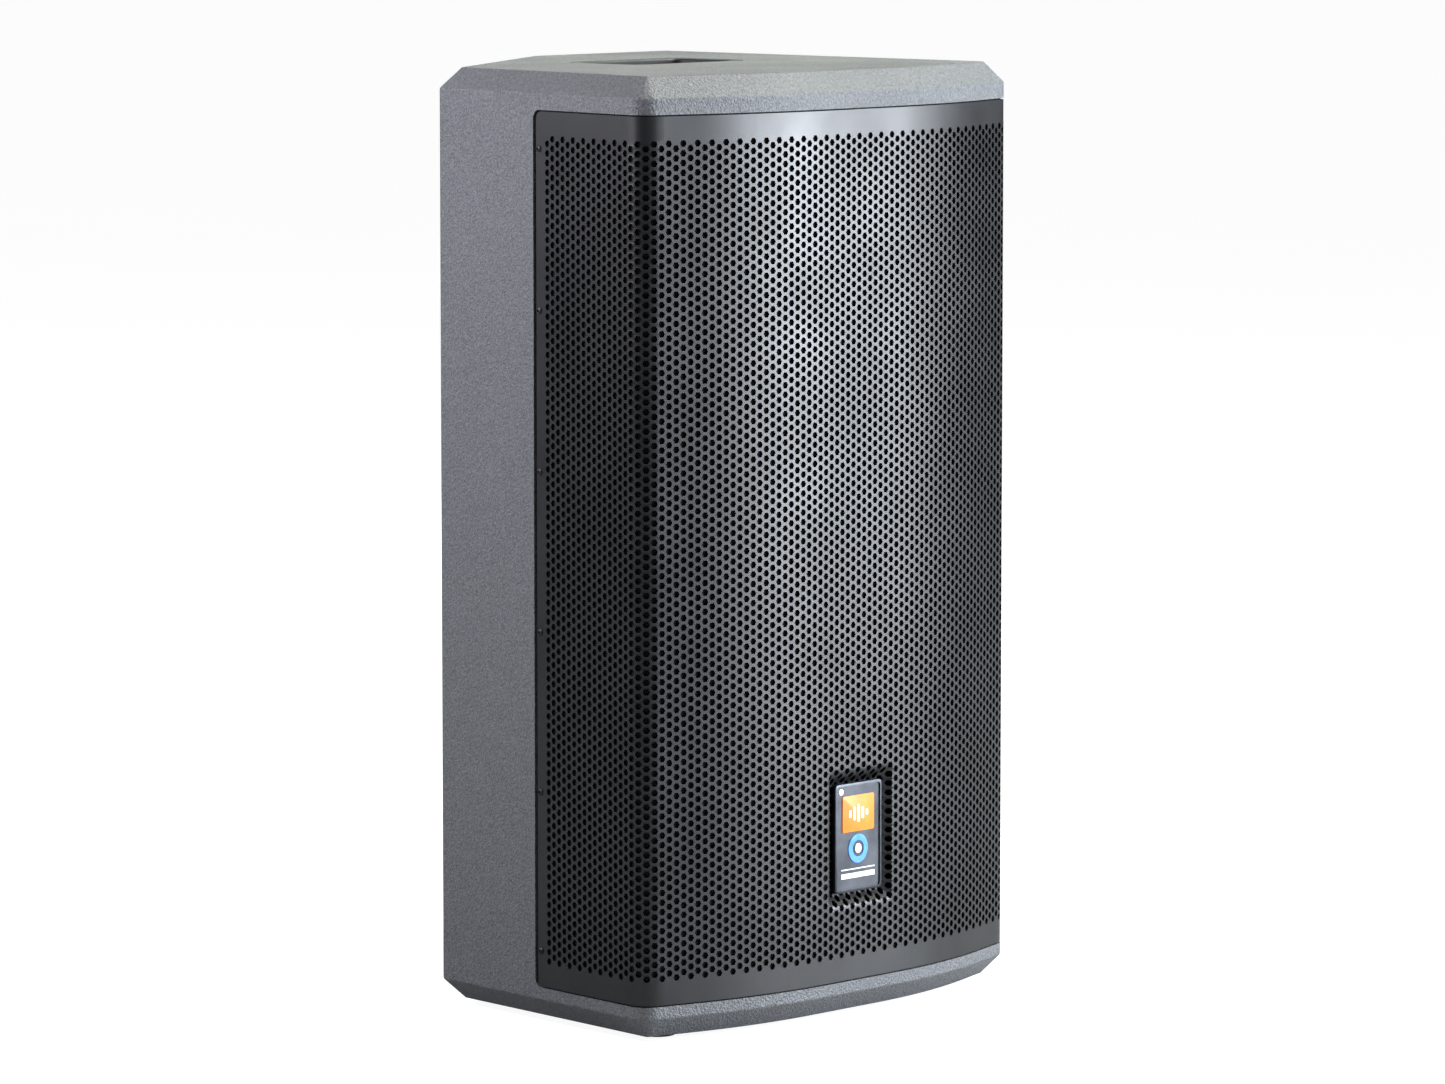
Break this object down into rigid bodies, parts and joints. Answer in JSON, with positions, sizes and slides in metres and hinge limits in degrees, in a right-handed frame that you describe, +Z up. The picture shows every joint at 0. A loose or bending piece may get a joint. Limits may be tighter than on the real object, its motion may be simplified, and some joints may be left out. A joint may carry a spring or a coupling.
{
  "type": "pa speaker cabinet",
  "caption": "Portable powered loudspeaker with an angular coated plywood cabinet, a curved wraparound perforated steel grille, a recessed top handle and a rear amplifier panel.",
  "frame": {"origin": "centre of the bounding box in plan, on the plane under the rubber feet", "axes": "+Z up; the grille faces -Y, the amplifier panel faces +Y, +X is to the right of somebody facing the grille"},
  "size_m": [0.3688, 0.35, 0.639],
  "materials": {
    "cabinet_coat": "textured polyurea paint on plywood",
    "birch_ply": "bare birch plywood",
    "baffle_paint": "flat black paint on plywood",
    "grille_steel": "semi-gloss black powder coat on perforated steel",
    "acoustic_foam": "open-cell foam",
    "badge_metal": "satin anodised, dark grey",
    "moulded_plastic": "fine moulded grain",
    "soft_rubber": "matt",
    "cast_frame": "black painted casting",
    "magnet_steel": "zinc plated and painted steel",
    "paper_cone": "coated paper pulp",
    "surround_cloth": "doped cloth",
    "spider_cloth": "resin-dipped cotton",
    "coil_wire": "varnished copper wire on a former",
    "titanium_foil": "thin formed titanium",
    "amp_paint": "fine-texture powder coat",
    "fin_aluminium": "black anodised extrusion",
    "plated_steel": "zinc-plated sheet",
    "circuit_board": "green solder mask with parts",
    "connector_plastic": "black glass-filled nylon",
    "lens_blue": "clear tinted",
    "lens_green": "clear tinted"
  },
  "bodies": {
    "cabinet": {"bottom_panel": "cabinet_coat", "top_panel": "cabinet_coat", "side_left": "cabinet_coat", "side_monitor": "cabinet_coat", "side_right": "cabinet_coat", "back_panel": "cabinet_coat", "front_baffle": "baffle_paint", "inner_brace": "birch_ply", "grille": "grille_steel", "grille_foam": "acoustic_foam", "badge_plate": "badge_metal", "handle_cup": "moulded_plastic", "handle_grip": "soft_rubber", "pole_socket": "moulded_plastic", "base_foot_1": "soft_rubber", "base_foot_2": "soft_rubber", "base_foot_3": "soft_rubber", "base_foot_4": "soft_rubber", "monitor_runner_lower": "soft_rubber", "monitor_runner_upper": "soft_rubber", "woofer_basket": "cast_frame", "woofer_magnet": "magnet_steel", "woofer_surround": "surround_cloth", "woofer_spider": "spider_cloth", "horn": "moulded_plastic", "driver_body": "magnet_steel", "driver_cap": "moulded_plastic", "port_tube_left": "moulded_plastic", "port_tube_right": "moulded_plastic", "amp_tray": "amp_paint", "heatsink": "fin_aluminium", "amp_cover": "plated_steel", "amp_board": "circuit_board", "power_board": "circuit_board", "combo_jack": "connector_plastic", "link_jack": "connector_plastic", "power_led": "lens_blue", "signal_led": "lens_green", "switch_frame": "connector_plastic", "mains_inlet": "connector_plastic", "fuse_cap": "connector_plastic"},
    "cone_assembly": {"woofer_cone": "paper_cone", "woofer_dust_cap": "paper_cone", "woofer_voice_coil": "coil_wire"},
    "tweeter_diaphragm": {"driver_diaphragm": "titanium_foil"},
    "volume_control": {"volume_knob": "connector_plastic"},
    "input_switch": {"input_button": "connector_plastic"},
    "boost_switch": {"boost_button": "connector_plastic"},
    "mains_switch": {"power_rocker": "connector_plastic"},
    "combo_release": {"combo_latch": "plated_steel"}
  },
  "joints": [
    {"name": "cone_travel", "type": "slide", "parent": "cabinet", "child": "cone_assembly", "axis": [0, -1, 0], "range_m": [-0.008, 0.008], "stiffness_N_per_m": 4500, "deforming": ["woofer_surround", "woofer_spider"]},
    {"name": "diaphragm_travel", "type": "slide", "parent": "cabinet", "child": "tweeter_diaphragm", "axis": [0, -1, 0], "range_m": [-0.0005, 0.0005], "stiffness_N_per_m": 5000},
    {"name": "volume_turn", "type": "hinge", "parent": "cabinet", "child": "volume_control", "pos_m": [0.10706, 0.151, 0.234], "axis": [0, -1, 0], "range_deg": [-150, 150]},
    {"name": "input_press", "type": "slide", "parent": "cabinet", "child": "input_switch", "axis": [0, -1, 0], "range_m": [0, 0.0025], "stiffness_N_per_m": 500, "springref_m": -0.001},
    {"name": "boost_press", "type": "slide", "parent": "cabinet", "child": "boost_switch", "axis": [0, -1, 0], "range_m": [0, 0.0025], "stiffness_N_per_m": 500, "springref_m": -0.001},
    {"name": "mains_rock", "type": "hinge", "parent": "cabinet", "child": "mains_switch", "pos_m": [0.07306, 0.151, 0.165], "axis": [-1, 0, 0], "range_deg": [0, 16]},
    {"name": "release_press", "type": "slide", "parent": "cabinet", "child": "combo_release", "axis": [0, -1, 0], "range_m": [0, 0.003], "stiffness_N_per_m": 500, "springref_m": -0.001}
  ]
}
